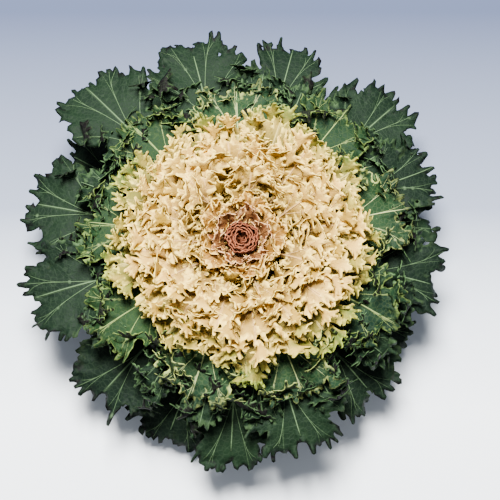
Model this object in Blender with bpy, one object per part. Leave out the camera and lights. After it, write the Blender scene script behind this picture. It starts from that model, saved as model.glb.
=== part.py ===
"""Ornamental kale: a cut head resting face up on its stem.

The stem carries whorls of stalked leaves. The green leaves lie lowest and reach furthest, then come frilled
green leaves, three whorls of cream leaves and the closed heart. Every leaf is a thin blade with a fingered,
waved margin and a thick midrib that runs back into its stalk.

Each blade is drawn flat first, in (along, across): along runs from the stem to the tip, across is sideways.
It is then laid on its midrib's arc, cupped and waved, and given its thickness.
"""

import math
from dataclasses import dataclass, replace

import bmesh
import bpy
import numpy as np
from mathutils import Vector
from mathutils.geometry import delaunay_2d_cdt

MM = 0.001

# Stem: a turned stump, cut flat below, with the heart on its top
# (height, radius) in mm
STEM_PROFILE = ((0, 14.5), (1.5, 16), (16, 15), (34, 14.5), (50, 13), (62, 11), (72, 8))
STEM_SIDES = 24
SEAT_GAP = 0.3 * MM  # between each stalk's end and the stem, and under the heart

# Blades
STALK_THICK = 4.2 * MM
STALK_EDGE_THICK = 2.2 * MM
MIDRIB_END_THICK = 1.3 * MM
BLADE_THICK = 0.95 * MM
MARGIN_THICK = 0.75 * MM
MARGIN_END = math.radians(158)  # the blade's margin runs this far round on each side of the tip
FAN = 0.32  # how much wider the blade is towards its tip than towards its stalk
FRONT_SHARE = 0.46  # of the blade's length, in front of its widest place
FINGER_TIP = (0.26, 0.76)  # where a finger's flat tip begins and ends, as shares of its room on the margin
FINGER_SWING = 0.12  # how far a tip may lean to either side, in the same shares
UNEVEN = 0.03  # how much notches and tips vary, as a share of the way out
NECK = (0.85, 0.7)  # the stalk's width half way up and at the blade, as shares of its foot's
INNER_RING = 0.55  # where the blade's inner points lie, as a share of the way out to the margin
INNER_RING_SPAN = (0.06, 0.94)  # its first and last point, as shares of the way round
INNER_PER_FINGER = 0.7
MIDRIB_POINTS = 5
MIDRIB_END = 0.6  # where the thick midrib ends, as a share of the way from the middle to the tip
WAVE_AT_TIP = 0.45  # how much the tip waves, as a share of how much the sides do
RISE_AT = 0.2  # the share of the midrib's length at which it is steepest
CUP_FULL_AT = 0.5  # the share of the midrib's length from which the leaf is fully cupped
SAMPLES = 400  # along a curve that is measured
MERGE = 1e-7
SHARP_ANGLE = math.radians(40)


@dataclass(frozen=True)
class Leaf:
    """One kind of leaf. Lengths are in metres, and slopes in degrees above level."""

    base_height: float  # where the stalk leaves the stem
    base_slope: float
    rise_slope: float
    tip_slope: float
    blade_share: float  # of the midrib's length
    width: float
    stalk_width: float
    cup_radius: float  # of the blade's cross curve
    fold: float  # how far each half rises, as a share of its width
    fingers: int
    finger_depth: float  # as a share of the way out from the middle
    lobes: int
    lobe_depth: float
    waves: int
    wave_height: float
    tilt: float = 0.0  # how far one half rises and the other sinks, as a share of its width
    length: float = 0.0  # of the midrib with the stalk; where it is 0, the leaf's reach gives it


LOW_LEAF = Leaf(
    base_height=9 * MM, base_slope=18, rise_slope=27, tip_slope=-34,
    blade_share=0.56, width=70 * MM, stalk_width=7 * MM, cup_radius=300 * MM, fold=0.03,
    fingers=15, finger_depth=0.18, lobes=5, lobe_depth=0.10, waves=5, wave_height=3 * MM,
)  # fmt: skip
MID_LEAF = replace(
    LOW_LEAF, base_height=17 * MM, base_slope=24, rise_slope=36, tip_slope=-32,
    blade_share=0.57, fold=0.04, fingers=16, finger_depth=0.17,
)  # fmt: skip
TOP_LEAF = replace(MID_LEAF, base_height=25 * MM, base_slope=28, rise_slope=41, tip_slope=-31, tilt=0.08)
TIERS = {"low": LOW_LEAF, "mid": MID_LEAF, "top": TOP_LEAF}

# The green leaves: (tier, azimuth in degrees, reach in mm, blade width in mm)
GREEN_LEAVES = (
    ("mid", 10, 148, 60),
    ("top", 23, 153, 62),
    ("mid", 44, 166, 76),
    ("low", 62, 148, 62),
    ("mid", 76, 163, 64),
    ("low", 90, 152, 56),
    ("top", 104, 163, 72),
    ("low", 121, 150, 60),
    ("top", 134, 172, 76),
    ("low", 149, 156, 62),
    ("mid", 167, 164, 76),
    ("top", 194, 161, 76),
    ("mid", 226, 156, 76),
    ("low", 248, 153, 74),
    ("mid", 267, 162, 70),
    ("top", 287, 158, 74),
    ("mid", 312, 150, 72),
    ("low", 330, 140, 66),
    ("top", 349, 149, 74),
    ("low", 2, 138, 64),
)


@dataclass(frozen=True)
class Whorl:
    """Like leaves set evenly round the stem."""

    name: str
    count: int
    first_azimuth: float  # degrees
    jitter: float  # degrees, either way
    reach: float  # mm from the stem's axis to the tips
    leaf: Leaf


FRILLED_LEAF = Leaf(
    base_height=35 * MM, base_slope=32, rise_slope=51, tip_slope=-26,
    blade_share=0.60, width=66 * MM, stalk_width=6.4 * MM, cup_radius=160 * MM, fold=0.05, tilt=0.08,
    fingers=15, finger_depth=0.22, lobes=5, lobe_depth=0.13, waves=5, wave_height=3 * MM,
)  # fmt: skip
CREAM_OUTER_LEAF = Leaf(
    base_height=43 * MM, base_slope=34, rise_slope=61, tip_slope=-17,
    blade_share=0.60, width=54 * MM, stalk_width=5.8 * MM, cup_radius=100 * MM, fold=0.06, tilt=0.14,
    fingers=13, finger_depth=0.24, lobes=5, lobe_depth=0.14, waves=5, wave_height=2.4 * MM,
)  # fmt: skip
CREAM_MIDDLE_LEAF = replace(
    CREAM_OUTER_LEAF, base_height=51 * MM, base_slope=36, rise_slope=70, tip_slope=-7,
    width=46 * MM, stalk_width=5.2 * MM, cup_radius=70 * MM, wave_height=2.2 * MM,
)  # fmt: skip
CREAM_INNER_LEAF = replace(
    CREAM_MIDDLE_LEAF, base_height=59 * MM, base_slope=38, rise_slope=76, tip_slope=8,
    blade_share=0.62, width=39 * MM, stalk_width=4.6 * MM, cup_radius=50 * MM,
    fingers=12, lobe_depth=0.12, wave_height=2 * MM,
)  # fmt: skip
WHORLS = (
    Whorl("frilled_leaf", count=9, first_azimuth=12, jitter=4, reach=126, leaf=FRILLED_LEAF),
    Whorl("cream_outer_leaf", count=9, first_azimuth=32, jitter=3, reach=106, leaf=CREAM_OUTER_LEAF),
    Whorl("cream_middle_leaf", count=8, first_azimuth=8, jitter=3, reach=84, leaf=CREAM_MIDDLE_LEAF),
    Whorl("cream_inner_leaf", count=7, first_azimuth=30, jitter=3, reach=62, leaf=CREAM_INNER_LEAF),
)
REACH_VARIES = 0.03

# Heart: a slim core with nested leaves, all grown together
# (height, radius) in mm
CORE_PROFILE = ((72.3, 7.8), (78, 7), (84, 5.4), (94, 1.4))
CORE_SIDES = 12
GOLDEN_ANGLE = 137.5  # degrees from each leaf of the heart to the next
HEART_OPEN_LEAVES = 6
HEART_CLOSED_LEAVES = 9
OPEN_LEAF = Leaf(
    base_height=75 * MM, base_slope=34, rise_slope=72, tip_slope=26, length=46 * MM,
    blade_share=0.70, width=29 * MM, stalk_width=4 * MM, cup_radius=30 * MM, fold=0.05, tilt=0.16,
    fingers=9, finger_depth=0.24, lobes=5, lobe_depth=0.12, waves=4, wave_height=1.4 * MM,
)  # fmt: skip
CLOSED_LEAF = replace(
    OPEN_LEAF, base_slope=44, rise_slope=55, tip_slope=100, stalk_width=3 * MM, fold=0.0, tilt=0.0,
    fingers=6, finger_depth=0.16, lobes=3, lobe_depth=0.06, waves=3, wave_height=0.4 * MM,
)  # fmt: skip
CLOSED_LENGTHS = (24 * MM, 11 * MM)  # of the outermost and innermost closed leaves
CLOSED_FEET = (79 * MM, 90 * MM)  # the heights they grow from
CLOSED_WIDTH = 0.95  # of a closed leaf's length
CLOSED_CUP = 0.55
SUNK = 1.6 * MM  # how far the heart's leaves root into the core

# Seeds for the small differences between leaves
GREEN_SEED = 630
WHORL_SEED = 210
HEART_SEED = 300

# Materials: (name, base colour, roughness)
GREEN = ("kale_leaf_green", (0.035, 0.105, 0.045), 0.55)
FRILLED = ("kale_leaf_variegated", (0.13, 0.22, 0.08), 0.55)
CREAM = ("kale_leaf_cream", (0.84, 0.68, 0.34), 0.5)
HEART = ("kale_heart_rose", (0.42, 0.17, 0.10), 0.5)
STALK = ("kale_stem_pale", (0.45, 0.5, 0.28), 0.6)


def material(look):
    name, colour, roughness = look
    found = bpy.data.materials.get(name)
    if found:
        return found
    made = bpy.data.materials.new(name)
    made.use_nodes = True
    shader = made.node_tree.nodes["Principled BSDF"]
    shader.inputs["Base Color"].default_value = (*colour, 1)
    shader.inputs["Roughness"].default_value = roughness
    shader.inputs["Metallic"].default_value = 0
    return made


def add_object(name, mesh, look):
    mesh.materials.append(material(look))
    mesh.shade_smooth()
    made = bpy.data.objects.new(name, mesh)
    bpy.context.scene.collection.objects.link(made)
    return made


def turned(name, profile_mm, sides, look):
    """A solid of revolution about Z with flat ends."""
    work = bmesh.new()
    corners = [work.verts.new((radius * MM, 0, height * MM)) for height, radius in profile_mm]
    edges = [work.edges.new(ends) for ends in zip(corners, corners[1:])]
    bmesh.ops.spin(work, geom=corners + edges, axis=(0, 0, 1), angle=2 * math.pi, steps=sides, use_merge=True)
    bmesh.ops.holes_fill(work, edges=[edge for edge in work.edges if edge.is_boundary])
    bmesh.ops.recalc_face_normals(work, faces=work.faces)
    mesh = bpy.data.meshes.new(name)
    work.to_mesh(mesh)
    work.free()
    made = add_object(name, mesh, look)
    mesh.set_sharp_from_angle(angle=SHARP_ANGLE)
    return made


def foot_radius(leaf):
    """How far from the axis a stalk's foot stands: clear of the stem, which widens downwards."""
    heights, radii = zip(*STEM_PROFILE)
    return float(np.interp((leaf.base_height - STALK_THICK / 2) / MM, heights, radii)) * MM + SEAT_GAP


def slopes(leaf, share):
    """The midrib's slope in radians at these shares of its length."""
    return np.radians(np.interp(share, (0, RISE_AT, 1), (leaf.base_slope, leaf.rise_slope, leaf.tip_slope)))


def length_for(leaf, base_radius, reach):
    """The midrib's length that brings the tip this far from the stem's axis."""
    return (reach - base_radius) / float(np.mean(np.cos(slopes(leaf, np.linspace(0, 1, SAMPLES)))))


def summed(rate):
    return np.concatenate(((0,), np.cumsum((rate[1:] + rate[:-1]) / 2)))


class Midrib:
    """The arc that a leaf's midrib follows from the stem out, in the plane through the stem's axis."""

    def __init__(self, leaf, base_radius):
        share = np.linspace(0, 1, SAMPLES)
        step = leaf.length / (SAMPLES - 1)
        self.along = share * leaf.length
        self.slope = slopes(leaf, share)
        self.radius = base_radius + summed(np.cos(self.slope)) * step
        self.height = leaf.base_height + summed(np.sin(self.slope)) * step

    def at(self, along):
        return tuple(np.interp(along, self.along, v) for v in (self.radius, self.height, self.slope))


class Blade:
    """The flat blade: its fan-shaped envelope, and the fingers cut into it."""

    def __init__(self, leaf):
        self.leaf = leaf
        self.start = leaf.length * (1 - leaf.blade_share)
        blade = leaf.length - self.start
        self.front = blade * FRONT_SHARE
        self.back = blade - self.front
        self.middle = self.start + self.back
        self.turn = np.linspace(-MARGIN_END, MARGIN_END, SAMPLES)
        edge = self.point(self.turn, np.ones(SAMPLES))
        run = np.concatenate(((0,), np.cumsum(np.hypot(*np.diff(edge, axis=1)))))
        self.run = run / run[-1]

    def point(self, turn, out):
        """(along, across) of a place given as a turn from the tip's direction and a share of the way out."""
        reach = np.where(np.cos(turn) > 0, self.front, self.back)
        along = self.middle + out * reach * np.cos(turn)
        across = out * self.leaf.width / 2 * np.sin(turn) * (1 + FAN * np.cos(turn))
        return np.array((along, across))

    def turn_at(self, run):
        return np.interp(run, self.run, self.turn)

    def run_at(self, turn):
        return np.interp(turn, self.turn, self.run)

    def margin(self, rng):
        """The (turn, out) places of the margin's corners: each finger has a notch and two tip corners."""
        leaf = self.leaf
        places = []
        for k in range(leaf.fingers):
            lobe = 1 - leaf.lobe_depth * abs(math.cos(math.pi * leaf.lobes * (k + 0.5) / leaf.fingers))
            swing = rng.uniform(-FINGER_SWING, FINGER_SWING)
            tip = min(1.0, lobe + rng.uniform(-UNEVEN, UNEVEN))
            notch = lobe * (1 - leaf.finger_depth) + rng.uniform(-UNEVEN, UNEVEN)
            places.append((k, notch))
            places.append((k + FINGER_TIP[0] + swing, tip))
            places.append((k + FINGER_TIP[1] + swing, tip - rng.uniform(0, UNEVEN)))
        places.append((leaf.fingers, places[-3][1]))
        step, out = np.array(places).T
        return self.turn_at(step / leaf.fingers), out


def waved(blade, turn, out, phase):
    """How far the blade rises from its arc. The margin waves most, and its sides more than its tip."""
    leaf = blade.leaf
    share = WAVE_AT_TIP + (1 - WAVE_AT_TIP) * np.sin(turn) ** 2
    return leaf.wave_height * out**2 * share * np.sin(2 * math.pi * leaf.waves * blade.run_at(turn) + phase)


class FlatLeaf:
    """The leaf laid flat: its points with their rise and thickness, its outline and its fixed edges."""

    def __init__(self, blade, rng):
        leaf = blade.leaf
        self.blade = blade
        self.points, self.rise, self.thick = [], [], []
        phase = rng.uniform(0, 2 * math.pi)
        half = leaf.stalk_width / 2
        stalk = ((0, half), (blade.start / 2, half * NECK[0]), (blade.start, half * NECK[1]))
        edge_thick = (STALK_EDGE_THICK, STALK_EDGE_THICK, BLADE_THICK)
        turn, out = blade.margin(rng)
        self.add([(along, -across) for along, across in stalk], 0, edge_thick)
        self.add(blade.point(turn, out).T, waved(blade, turn, out, phase), MARGIN_THICK)
        self.add(stalk[::-1], 0, edge_thick[::-1])
        self.add([(0, 0)], 0, STALK_THICK)
        self.outline = list(range(len(self.points)))
        self.feet = (0, self.outline[-2], self.outline[-1])
        self.edges = list(zip(self.outline, self.outline[1:] + self.outline[:1]))
        self.add_midrib()
        self.add_inner_ring(phase)

    def add(self, points, rise, thick):
        """Adds points, with one rise and thickness for all of them or one each."""
        self.points += [tuple(map(float, p)) for p in points]
        self.rise += np.broadcast_to(rise, len(points)).tolist()
        self.thick += np.broadcast_to(thick, len(points)).tolist()

    def add_midrib(self):
        blade = self.blade
        end = blade.middle + blade.front * MIDRIB_END
        along = np.array((blade.start / 2, *np.linspace(blade.start, end, MIDRIB_POINTS)))
        chain = [self.outline[-1], *range(len(self.points), len(self.points) + len(along))]
        thick = np.interp(along, (0, blade.leaf.length), (STALK_THICK, MIDRIB_END_THICK))
        self.add([(a, 0) for a in along], 0, thick)
        self.edges += list(zip(chain, chain[1:]))

    def add_inner_ring(self, phase):
        """Points part of the way out, which carry the waves inwards."""
        count = round(self.blade.leaf.fingers * INNER_PER_FINGER)
        turn = self.blade.turn_at(np.linspace(*INNER_RING_SPAN, count))
        out = np.full(count, INNER_RING)
        self.add(self.blade.point(turn, out).T, waved(self.blade, turn, out, phase), BLADE_THICK)


def triangulated(flat):
    """Triangles of the flat leaf, wound to face up, on its own points."""
    found = delaunay_2d_cdt([Vector(p) for p in flat.points], flat.edges, [flat.outline], 1, MERGE)
    points, faces, sources = found[0], found[2], found[3]
    if len(points) != len(flat.points) or not all(sources):
        raise ValueError("the flat leaf crosses itself")
    return [tuple(sources[i][0] for i in face) for face in faces]


def sheet_normals(points, faces):
    corners = points[np.array(faces)]
    normal = np.cross(corners[:, 1] - corners[:, 0], corners[:, 2] - corners[:, 0])
    total = np.zeros_like(points)
    for k in range(3):
        np.add.at(total, np.array(faces)[:, k], normal)
    return total / np.linalg.norm(total, axis=1, keepdims=True)


def thickened(sheet, faces, flat):
    """A closed solid round the sheet: both faces have the same triangles, and a rim joins them."""
    offset = sheet_normals(sheet, faces) * np.array(flat.thick)[:, None] / 2
    count = len(sheet)
    solid = faces + [tuple(i + count for i in reversed(f)) for f in faces]
    for i, j in zip(flat.outline, flat.outline[1:] + flat.outline[:1]):
        solid.append((i, i + count, j))
        solid.append((j, i + count, j + count))
    return np.vstack((sheet + offset, sheet - offset)), solid


def bent(leaf, midrib, flat):
    """The flat leaf laid on its midrib's arc, as (radius, across, height)."""
    along, across = np.array(flat.points).T
    radius, height, slope = midrib.at(along)
    cup_turn = across / leaf.cup_radius
    side = leaf.cup_radius * np.sin(cup_turn)
    lift = leaf.cup_radius * (1 - np.cos(cup_turn)) + leaf.fold * np.abs(across) + leaf.tilt * across
    lift = lift * np.clip(along / leaf.length / CUP_FULL_AT, 0, 1) + np.array(flat.rise)
    return np.column_stack((radius - np.sin(slope) * lift, side, height + np.cos(slope) * lift))


def placed(points, azimuth):
    a = math.radians(azimuth)
    radius, side, height = points.T
    return np.column_stack(
        (radius * math.cos(a) - side * math.sin(a), radius * math.sin(a) + side * math.cos(a), height)
    )


def mitred(points, flat, base_radius, slope):
    """Slides the stalk's foot along the stalk until its end stands upright against the stem."""
    moved = points.copy()
    for i in flat.feet:
        for end in (i, i + len(flat.points)):
            slide = (base_radius - moved[end, 0]) / math.cos(slope)
            moved[end] += np.array((math.cos(slope), 0, math.sin(slope))) * slide
    return moved


def make_leaf(name, leaf, azimuth, base_radius, look, rng):
    flat = FlatLeaf(Blade(leaf), rng)
    faces = triangulated(flat)
    sheet = bent(leaf, Midrib(leaf, base_radius), flat)
    points, solid = thickened(sheet, faces, flat)
    points = placed(mitred(points, flat, base_radius, math.radians(leaf.base_slope)), azimuth)
    mesh = bpy.data.meshes.new(name)
    mesh.from_pydata(points.tolist(), [], solid)
    return add_object(name, mesh, look)


def make_green_leaves():
    for number, (tier, azimuth, reach, width) in enumerate(GREEN_LEAVES, 1):
        leaf = replace(TIERS[tier], width=width * MM)
        base = foot_radius(leaf)
        leaf = replace(leaf, length=length_for(leaf, base, reach * MM))
        rng = np.random.default_rng(GREEN_SEED + number)
        make_leaf(f"green_leaf_{number:02d}", leaf, azimuth, base, GREEN, rng)


def make_whorls():
    for order, whorl in enumerate(WHORLS):
        rng = np.random.default_rng(WHORL_SEED + order)
        base = foot_radius(whorl.leaf)
        for number in range(whorl.count):
            azimuth = whorl.first_azimuth + 360 * number / whorl.count + rng.uniform(-1, 1) * whorl.jitter
            reach = whorl.reach * MM * rng.uniform(1 - REACH_VARIES, 1 + REACH_VARIES)
            leaf = replace(whorl.leaf, length=length_for(whorl.leaf, base, reach))
            look = FRILLED if whorl.name == "frilled_leaf" else CREAM
            make_leaf(f"{whorl.name}_{number + 1:02d}", leaf, azimuth, base, look, rng)


def closed_leaf(number):
    """A leaf of the closed heart: the further in, the smaller and the tighter round the axis."""
    share = number / (HEART_CLOSED_LEAVES - 1)
    length = float(np.interp(share, (0, 1), CLOSED_LENGTHS))
    return replace(
        CLOSED_LEAF,
        base_height=float(np.interp(share, (0, 1), CLOSED_FEET)),
        length=length,
        width=length * CLOSED_WIDTH,
        cup_radius=length * CLOSED_CUP,
    )


def make_heart_leaves():
    """The heart's open and closed leaves, each rooted in the core."""
    heights, radii = zip(*CORE_PROFILE)
    rng = np.random.default_rng(HEART_SEED)
    made = []
    for number in range(HEART_OPEN_LEAVES + HEART_CLOSED_LEAVES):
        is_open = number < HEART_OPEN_LEAVES
        leaf = OPEN_LEAF if is_open else closed_leaf(number - HEART_OPEN_LEAVES)
        azimuth = 360 * number / HEART_OPEN_LEAVES if is_open else GOLDEN_ANGLE * number
        root = float(np.interp(leaf.base_height / MM, heights, radii)) * MM - SUNK
        made.append(make_leaf(f"heart_leaf_{number}", leaf, azimuth, root, HEART, rng))
    return made


def make_heart():
    """The core, with its leaves joined to it in one solid."""
    core = turned("heart", CORE_PROFILE, CORE_SIDES, HEART)
    leaves = bpy.data.collections.new("heart leaves")
    bpy.context.scene.collection.children.link(leaves)
    for made in make_heart_leaves():
        bpy.context.scene.collection.objects.unlink(made)
        leaves.objects.link(made)
    join = core.modifiers.new("Join leaves", "BOOLEAN")
    join.operation = "UNION"
    join.solver = "MANIFOLD"
    join.operand_type = "COLLECTION"
    join.collection = leaves
    bpy.context.view_layer.objects.active = core
    bpy.ops.object.modifier_apply(modifier=join.name)
    for made in list(leaves.objects):
        bpy.data.objects.remove(made)
    bpy.data.collections.remove(leaves)


def main():
    for old in list(bpy.data.objects):
        bpy.data.objects.remove(old)
    turned("stem", STEM_PROFILE, STEM_SIDES, STALK)
    make_green_leaves()
    make_whorls()
    make_heart()


main()
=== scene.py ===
"""Ornamental kale: the looks of a cut head resting face up on a pale sheet, seen from above."""

import math
from dataclasses import dataclass, replace

import bmesh
import bpy
import numpy as np
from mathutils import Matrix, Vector


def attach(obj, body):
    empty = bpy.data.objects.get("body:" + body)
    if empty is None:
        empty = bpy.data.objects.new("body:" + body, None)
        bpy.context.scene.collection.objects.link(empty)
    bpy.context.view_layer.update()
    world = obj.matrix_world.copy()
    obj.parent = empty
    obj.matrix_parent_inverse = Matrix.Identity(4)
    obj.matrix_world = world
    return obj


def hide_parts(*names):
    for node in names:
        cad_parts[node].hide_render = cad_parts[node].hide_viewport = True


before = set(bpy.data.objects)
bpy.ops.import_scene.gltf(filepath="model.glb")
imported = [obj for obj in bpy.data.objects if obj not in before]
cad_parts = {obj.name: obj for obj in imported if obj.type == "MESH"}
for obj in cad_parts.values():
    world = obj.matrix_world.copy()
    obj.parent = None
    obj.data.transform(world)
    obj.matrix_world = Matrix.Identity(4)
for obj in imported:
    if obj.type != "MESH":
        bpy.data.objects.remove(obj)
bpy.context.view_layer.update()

# The camera: above the head, leaning a little towards its lower edge, and far enough away for a flat picture.
# The closed heart, 100 mm above the sheet, lies a little left of and above the middle of the picture.
CAMERA_LEAN = math.radians(10)  # from straight down
CAMERA_DISTANCE = 1.25  # metres, as are the next two
CAMERA_TARGET = Vector((0.0058, -0.0022, 0.060))
SPAN_AT_TARGET = 0.350  # metres across the picture, at the target's distance
SENSOR = 36  # mm

camera = bpy.data.objects.new("camera", bpy.data.cameras.new("camera"))
bpy.context.scene.collection.objects.link(camera)
camera.data.sensor_width = SENSOR
camera.data.lens = SENSOR * CAMERA_DISTANCE / SPAN_AT_TARGET
camera_arm = Vector((0, -math.sin(CAMERA_LEAN), math.cos(CAMERA_LEAN)))
camera.location = CAMERA_TARGET + camera_arm * CAMERA_DISTANCE
camera.rotation_euler = (CAMERA_LEAN, 0, 0)
bpy.context.scene.camera = camera


# The stem: a short fleshy stump of pale green kale, cut flat below with a knife. All the leaves grow from it.
# It is turned to the same profile as the solid, with a shallow scar where each shed leaf stood.
MM = 0.001
# (height, radius) in mm
STEM_PROFILE = ((0, 14.5), (1.5, 16), (16, 15), (34, 14.5), (50, 13), (62, 11), (72, 8))
STEM_SIDES = 48
STEM_RING = 1.5  # mm from one ring of the mesh to the next
STEM_SIDE = (2, 71)  # mm, the heights between which it bears scars
GOLDEN_ANGLE = 137.5  # degrees from one leaf or scar to the next
SCARS = 14
SCAR_FIRST = 6  # mm, the lowest one's height
SCAR_STEP = 4.4  # mm from one up to the next
SCAR_SIZE = (5.0, 1.7)  # mm across and high
SCAR_DEPTH = 0.5  # mm
FIBRE_APART = 1.5  # mm, drawn as coarse as the fibres need to show
FIBRE_SQUEEZE = 0.12  # how much slower their pattern changes along the stem than across it
STEM_PATCH = 12  # mm


def linear(hex_colour):
    """A colour in sRGB hex as linear red, green, blue and alpha."""
    parts = [int(hex_colour[i : i + 2], 16) / 255 for i in (1, 3, 5)]
    return (*[c / 12.92 if c <= 0.04045 else ((c + 0.055) / 1.055) ** 2.4 for c in parts], 1)


def add_node(tree, kind, inputs=(), stops=(), **settings):
    """Adds a node. An input is linked to a socket, or set to a value or a hex colour. A ramp has stops."""
    node = tree.nodes.new("ShaderNode" + kind)
    for name, value in settings.items():
        setattr(node, name, value)
    for name, value in dict(inputs).items():
        if isinstance(value, bpy.types.NodeSocket):
            tree.links.new(value, node.inputs[name])
        else:
            node.inputs[name].default_value = linear(value) if isinstance(value, str) else value
    if stops:
        marks = node.color_ramp.elements
        while len(marks) < len(stops):
            marks.new(0.5)
        for mark, (share, colour) in zip(marks, stops):
            mark.position = share
            mark.color = linear(colour)
    return node


def new_material(name):
    made = bpy.data.materials.new(name)
    made.use_nodes = True
    return made, made.node_tree, made.node_tree.nodes["Principled BSDF"]


def stem_material():
    """Fresh kale stem: waxy pale green skin in two soft tones, with fine fibres that catch the light."""
    made, tree, shader = new_material("waxy kale stem")
    place = add_node(tree, "TexCoord").outputs["Object"]
    drawn_out = add_node(tree, "Mapping", {"Vector": place, "Scale": (1, 1, FIBRE_SQUEEZE)}).outputs[0]
    fibre = add_node(
        tree, "TexNoise", {"Vector": drawn_out, "Scale": 1 / (FIBRE_APART * MM), "Detail": 3}
    ).outputs[0]
    patch = add_node(tree, "TexNoise", {"Vector": place, "Scale": 1 / (STEM_PATCH * MM)}).outputs[0]
    skin = add_node(tree, "Mix", {0: patch, 6: "#8E9A62", 7: "#B9BC8A"}, data_type="RGBA").outputs[2]
    marked = add_node(
        tree, "Mix", {0: fibre, 6: skin, 7: "#C9C0A0"}, data_type="RGBA", blend_type="MULTIPLY"
    ).outputs[2]
    bump = add_node(tree, "Bump", {"Height": fibre, "Strength": 0.3, "Distance": 0.3 * MM}).outputs[0]
    tree.links.new(marked, shader.inputs["Base Color"])
    tree.links.new(bump, shader.inputs["Normal"])
    shader.inputs["Roughness"].default_value = 0.55
    shader.inputs["IOR"].default_value = 1.42
    return made


def finish_piece(piece, material, node=None):
    """Gives a piece its material and record slot, and says which solid it stands for."""
    piece.data.materials.clear()
    piece.data.materials.append(material)
    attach(piece, "root")
    if node:
        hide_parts(node)


def turned_mesh(name, profile_mm, sides):
    """A solid of revolution about Z with flat ends."""
    work = bmesh.new()
    corners = [work.verts.new((radius * MM, 0, height * MM)) for height, radius in profile_mm]
    edges = [work.edges.new(ends) for ends in zip(corners, corners[1:])]
    bmesh.ops.spin(work, geom=corners + edges, axis=(0, 0, 1), angle=2 * math.pi, steps=sides, use_merge=True)
    bmesh.ops.holes_fill(work, edges=[edge for edge in work.edges if edge.is_boundary])
    bmesh.ops.recalc_face_normals(work, faces=work.faces)
    mesh = bpy.data.meshes.new(name)
    work.to_mesh(mesh)
    work.free()
    return mesh


def scar_depth(point, number):
    """How deep one leaf scar is pressed in at a point of the stem's side."""
    turn = math.radians(GOLDEN_ANGLE * number)
    height = SCAR_FIRST + SCAR_STEP * number
    across = (math.atan2(point.y, point.x) - turn + math.pi) % (2 * math.pi) - math.pi
    across *= math.hypot(point.x, point.y) / MM / SCAR_SIZE[0]
    up = (point.z / MM - height) / SCAR_SIZE[1]
    return SCAR_DEPTH * math.exp(-(across**2) - up**2)


def make_stem():
    rings = np.arange(*STEM_SIDE, STEM_RING)
    heights = np.unique(np.concatenate((rings, [height for height, _ in STEM_PROFILE])))
    profile = [(h, float(np.interp(h, *zip(*STEM_PROFILE)))) for h in heights]
    mesh = turned_mesh("stem_skin", profile, STEM_SIDES)
    for vertex in mesh.vertices:
        side = math.hypot(vertex.co.x, vertex.co.y)
        if STEM_SIDE[0] * MM < vertex.co.z < STEM_SIDE[1] * MM:
            depth = sum(scar_depth(vertex.co, number) for number in range(SCARS)) * MM
            vertex.co.x *= (side - depth) / side
            vertex.co.y *= (side - depth) / side
    piece = bpy.data.objects.new("stem_skin", mesh)
    bpy.context.scene.collection.objects.link(piece)
    mesh.shade_smooth()
    mesh.set_sharp_from_angle(angle=math.radians(50))
    finish_piece(piece, stem_material(), "stem")


make_stem()


# The green leaves: broad fans on long stalks, dark satin green with a pale midrib and side veins.
# Each is one thin sheet of leaf, cut into lobes and fingers whose tips curl and dry to a purple black.
# It is drawn flat as a blade with its fingers, then laid on its midrib's arc, cupped, waved and ruffled.
SAMPLES = 240  # along a curve that is measured
RISE_AT = 0.2  # the share of the midrib's length at which it is steepest
MARGIN_END = math.radians(158)  # the margin runs this far round on each side of the tip
FAN = 0.32  # how much wider a blade is towards its tip
FRONT_SHARE = 0.46  # of the blade's length, in front of its widest place
WAVE_AT_TIP = 0.45  # how much the tip waves, as a share of how much the sides do
CUP_FULL_AT = 0.5  # the share of the midrib's length from which a leaf is fully cupped
SOFT = 0.45  # mm, the rounding where a finger leaves the blade
STALK_THICK = 4.2  # mm
FOOT_IN_STEM = 1.2  # mm that a stalk's foot runs into the stem's skin
RIB_STANDS = 0.4  # mm that a rib's middle lies above the sheet's
RIB_MARGIN = 0.5  # mm from the margin, where a rib ends
MIDRIB_END = 0.95  # the share of the leaf's length at which its midrib ends
SIDE_VEIN = (0.36, 0.15)  # mm, half its width at its foot and its end
FORK_VEIN = (0.21, 0.1)
LEAFLET_VEIN = (0.4, 0.2)
VEIN_POINTS = 21  # along a side vein
FORKS_AT = (8, 13)  # the points where it forks
PAINT_FADES = 0.6  # how fast the paint of a vein fades beside it
BAY_DEPTHS = (0.35, 1.4)  # this and the next five are random spreads, as shares of the usual measure
BAY_WIDTHS = (0.6, 1.4)
FINGER_GAPS = (0.5, 1.9)
FINGER_RADII = (0.65, 1.4)
FINGER_LENGTHS = (0.4, 1.4)
FINGER_TIPS = (0.86, 1.0)
CURL_UP = 0.75  # the share of the fingers that curl up, and not down
FINGER_ROOT = 2.5  # mm that a finger's foot lies inside the blade
LEAFLET_FORKS = (-0.75, -0.3, 0.35, 0.8)  # radians from the leaflet's own heading
ROOM = 4  # mm round a flat leaf that its grid covers
TUFT_SEAT = (0.55, 0.85)  # where frills stand, as shares of the way out to the margin
TUFT_ROLL = (-28, 28)  # degrees
TUFT_SIZE = (0.75, 1.2)
STALK_TUFT_RISE = (5, 50)
STALK_TUFT_ROLL = (-40, 40)
STALK_TUFT_SIZE = (0.9, 1.3)
HEAD_TOP = 114.0  # mm, where the highest frills end
LEVELLED = 7.0  # mm below that, within which they are pressed level


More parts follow.
